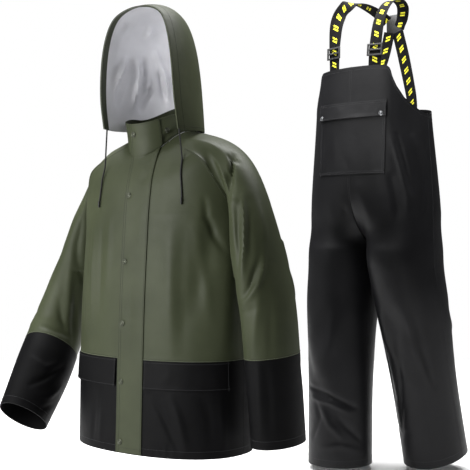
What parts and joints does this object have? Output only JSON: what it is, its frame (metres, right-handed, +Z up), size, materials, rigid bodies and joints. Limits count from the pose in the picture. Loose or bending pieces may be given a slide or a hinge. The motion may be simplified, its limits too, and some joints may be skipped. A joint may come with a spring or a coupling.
{
  "type": "rain suit of hooded jacket and bib overalls",
  "caption": "Hooded rain jacket with placket and flaps, and bib overalls with elastic braces, both filled out and hollow as worn.",
  "frame": {"origin": "middle of the jacket's neck, level with the shoulder points, where the wearer's shoulders hold it up", "axes": "+Z up; -Y towards the viewer of the picture; +X to that viewer's right; both fronts are turned towards -X"},
  "size_m": [1.3522, 0.9621, 1.4381],
  "materials": {
    "coated_olive": "coated cloth, soft satin",
    "coated_black": "coated cloth, soft satin",
    "webbing": "woven elastic with yellow marks",
    "cord": "braided cord",
    "slider_plastic": "moulded",
    "snap_gunmetal": "pressed and plated",
    "snap_silver": "pressed and plated"
  },
  "bodies": {
    "root": {"bib_back_left": "coated_black", "bib_back_right": "coated_black", "bib_front_left": "coated_black", "bib_front_right": "coated_black", "bib_pocket": "coated_black", "bib_pocket_flap": "coated_black", "brace_back_left": "webbing", "brace_back_right": "webbing", "brace_left": "webbing", "brace_patch": "webbing", "brace_right": "webbing", "collar": "coated_olive", "cord_tip_left": "cord", "cord_tip_right": "cord", "drawcord_left": "cord", "drawcord_right": "cord", "hood_left": "coated_olive", "hood_right": "coated_olive", "hood_tunnel": "coated_olive", "jacket_back": "coated_olive", "jacket_front_left": "coated_olive", "jacket_front_right": "coated_olive", "jacket_lower_back": "coated_black", "jacket_lower_front_left": "coated_black", "jacket_lower_front_right": "coated_black", "placket": "coated_olive", "pocket_flap_left": "coated_black", "pocket_flap_right": "coated_black", "sleeve_left_lower": "coated_black", "sleeve_left_upper": "coated_olive", "sleeve_right_lower": "coated_black", "sleeve_right_upper": "coated_olive", "slider_left": "slider_plastic", "slider_right": "slider_plastic", "snap_collar": "snap_gunmetal", "snap_flap_left": "snap_silver", "snap_flap_right": "snap_silver", "snap_placket_1": "snap_gunmetal", "snap_placket_2": "snap_gunmetal", "snap_placket_3": "snap_gunmetal", "snap_placket_4": "snap_gunmetal", "snap_placket_5": "snap_gunmetal", "snap_placket_6": "snap_gunmetal"}
  },
  "joints": []
}
